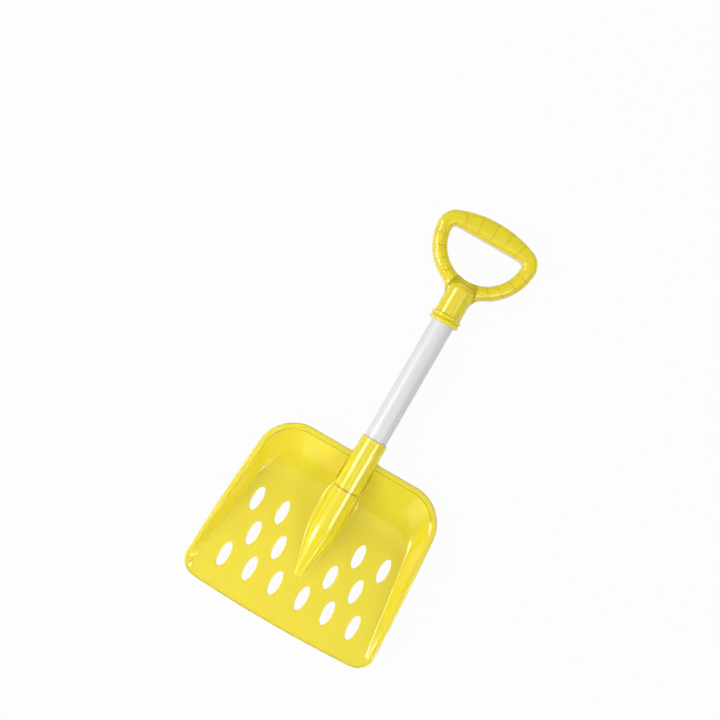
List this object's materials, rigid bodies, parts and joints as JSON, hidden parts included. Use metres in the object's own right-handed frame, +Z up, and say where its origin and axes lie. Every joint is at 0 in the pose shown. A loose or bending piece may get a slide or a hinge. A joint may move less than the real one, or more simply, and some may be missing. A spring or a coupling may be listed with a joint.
{
  "type": "toy scoop shovel",
  "caption": "Children's square scoop shovel with a moulded perforated pan, a straight plastic pipe shaft and an open D-shaped grip, for snow and sand play.",
  "frame": {"origin": "middle of the shovel's length and width, on the floor that it lies on", "axes": "+Z up with the shovel on its back, +Y from the blade's front edge towards the grip, +X to the right seen from above"},
  "size_m": [0.2198, 0.47, 0.0352],
  "materials": {
    "yellow_plastic": "glossy injection-moulded yellow",
    "white_pipe": "satin extruded white",
    "zinc_steel": "bright zinc plating"
  },
  "bodies": {
    "root": {"scoop": "yellow_plastic", "shaft_tube": "white_pipe", "d_grip": "yellow_plastic", "blade_screw": "zinc_steel", "grip_screw": "zinc_steel"}
  },
  "joints": []
}
